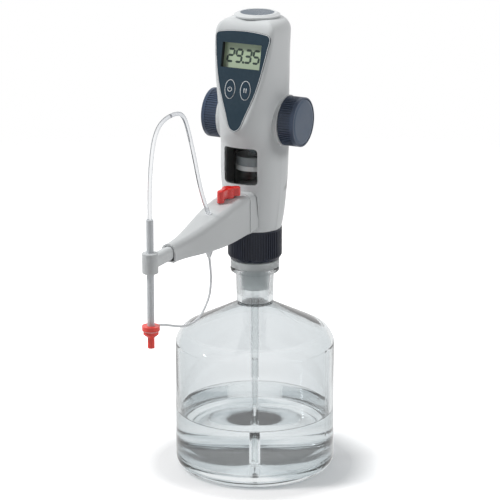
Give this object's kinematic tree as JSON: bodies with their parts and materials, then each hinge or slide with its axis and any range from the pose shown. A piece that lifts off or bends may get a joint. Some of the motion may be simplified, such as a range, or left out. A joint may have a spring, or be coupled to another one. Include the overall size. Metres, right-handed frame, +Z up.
{
  "type": "digital burette",
  "caption": "Bottle-top digital burette with handwheels, tilted display, swivelling head, telescopic arm and capped titrating tube on a glass reagent bottle.",
  "frame": {"origin": "centre of the bottle's flat base, on the bottle's axis", "axes": "+Z up along the bottle's axis; the display, arm and titrating tube face -Y; the handwheels' shaft lies along X"},
  "size_m": [0.16, 0.3014, 0.4648],
  "materials": {
    "clear_glass": "clear, polished",
    "clear_pane": "clear, polished",
    "frosted_plastic": "translucent, satin",
    "light_grey_plastic": "fine satin",
    "navy_plastic": "satin",
    "black_plastic": "matt",
    "panel_slate": "satin",
    "display_green": "matt glass",
    "red_plastic": "gloss",
    "white_ptfe": "waxy",
    "grey_tube": "satin",
    "clear_hose": "clear",
    "steel": "turned",
    "brass": "machined",
    "board_green": "solder resist",
    "cell_jacket": "printed sleeve, bare",
    "seal_rubber": "matt",
    "ceramic": "polished"
  },
  "bodies": {
    "bottle": {"reagent_bottle": "clear_glass"},
    "adapter": {"neck_adapter": "frosted_plastic", "sealing_ring": "seal_rubber", "knurled_ring": "navy_plastic"},
    "head": {"housing_front": "light_grey_plastic", "housing_rear": "light_grey_plastic", "window_pane": "clear_pane", "top_cap": "light_grey_plastic", "top_inlay": "panel_slate", "display_panel": "panel_slate", "lcd_bezel": "black_plastic", "lcd_cell": "display_green", "circuit_board": "board_green", "batteries": "cell_jacket", "battery_holder": "black_plastic", "shaft_bushes": "white_ptfe", "glass_cylinder": "clear_glass", "cylinder_clamp": "black_plastic", "rod_guide": "black_plastic", "valve_block": "white_ptfe", "suction_valve_cage": "white_ptfe", "discharge_valve_cage": "white_ptfe", "arm_shell": "light_grey_plastic", "hose_nipple": "light_grey_plastic", "filling_tube_upper": "frosted_plastic", "return_tube": "frosted_plastic", "hose_arm_length": "clear_hose", "strap_anchor": "light_grey_plastic", "strap_upper": "light_grey_plastic"},
    "battery_door": {"battery_cover": "light_grey_plastic"},
    "left_key": {"key_power": "panel_slate"},
    "right_key": {"key_pause": "panel_slate"},
    "handwheels": {"drive_shaft": "steel", "drive_pinion": "brass", "handwheel_right": "navy_plastic", "handwheel_left": "navy_plastic", "wheel_cap_right": "navy_plastic", "wheel_cap_left": "navy_plastic"},
    "piston": {"piston_rod": "steel", "piston_head": "grey_tube", "piston_seal": "white_ptfe"},
    "suction_ball": {"suction_valve_ball": "ceramic"},
    "discharge_ball": {"discharge_valve_ball": "ceramic"},
    "valve": {"valve_spindle": "white_ptfe", "valve_toggle": "red_plastic"},
    "rod": {"extension_rod": "light_grey_plastic", "cannula_holder": "light_grey_plastic", "hose_tip_length": "clear_hose", "strap_middle": "light_grey_plastic"},
    "cannula": {"cannula_tube": "grey_tube", "strap_lower": "light_grey_plastic"},
    "cap": {"tip_cap": "red_plastic"},
    "filling_extension": {"filling_tube_lower": "frosted_plastic"}
  },
  "joints": [
    {"name": "lift_off", "type": "slide", "parent": "bottle", "child": "adapter", "axis": [0, 0, 1], "range_m": [0, 0.21]},
    {"name": "head_swivel", "type": "hinge", "parent": "adapter", "child": "head", "pos_m": [0, 0, 0.25], "axis": [0, 0, 1], "range_deg": [-180, 180]},
    {"name": "battery_cover_off", "type": "slide", "parent": "head", "child": "battery_door", "axis": [0, 1, 0], "range_m": [0, 0.03]},
    {"name": "power_key_press", "type": "slide", "parent": "head", "child": "left_key", "axis": [0, 0.9763, -0.2164], "range_m": [0, 0.0008], "stiffness_N_per_m": 400, "springref_m": -0.0008},
    {"name": "pause_key_press", "type": "slide", "parent": "head", "child": "right_key", "axis": [0, 0.9763, -0.2164], "range_m": [0, 0.0008], "stiffness_N_per_m": 400, "springref_m": -0.0008},
    {"name": "handwheel_turn", "type": "hinge", "parent": "head", "child": "handwheels", "pos_m": [0, 0.0055, 0.36], "axis": [-1, 0, 0], "range_deg": [-184.37, 276.45]},
    {"name": "piston_stroke", "type": "slide", "parent": "head", "child": "piston", "axis": [0, 0, 1], "range_m": [-0.018, 0.027]},
    {"name": "suction_ball_lift", "type": "slide", "parent": "head", "child": "suction_ball", "axis": [0, 0, 1], "range_m": [0, 0.0012]},
    {"name": "discharge_ball_lift", "type": "slide", "parent": "head", "child": "discharge_ball", "axis": [0, -1, 0], "range_m": [0, 0.0012]},
    {"name": "valve_turn", "type": "hinge", "parent": "head", "child": "valve", "pos_m": [0, -0.058, 0.29], "axis": [0, 0, 1], "range_deg": [0, 90]},
    {"name": "arm_extension", "type": "slide", "parent": "head", "child": "rod", "axis": [0, -1, 0], "range_m": [-0.018, 0.03], "deforming": ["hose_arm_length", "strap_upper"]},
    {"name": "cannula_height", "type": "slide", "parent": "rod", "child": "cannula", "axis": [0, 0, 1], "range_m": [-0.03, 0.045], "deforming": ["hose_tip_length", "strap_middle"]},
    {"name": "tip_cap_pull", "type": "slide", "parent": "cannula", "child": "cap", "axis": [0, 0, -1], "range_m": [0, 0.02], "deforming": ["strap_lower"]},
    {"name": "filling_tube_telescope", "type": "slide", "parent": "head", "child": "filling_extension", "axis": [0, 0, 1], "range_m": [-0.001, 0.06]}
  ],
  "couplings": [
    {"joint": "handwheel_turn", "follows": "piston_stroke", "rad_per_m": 178.57}
  ]
}
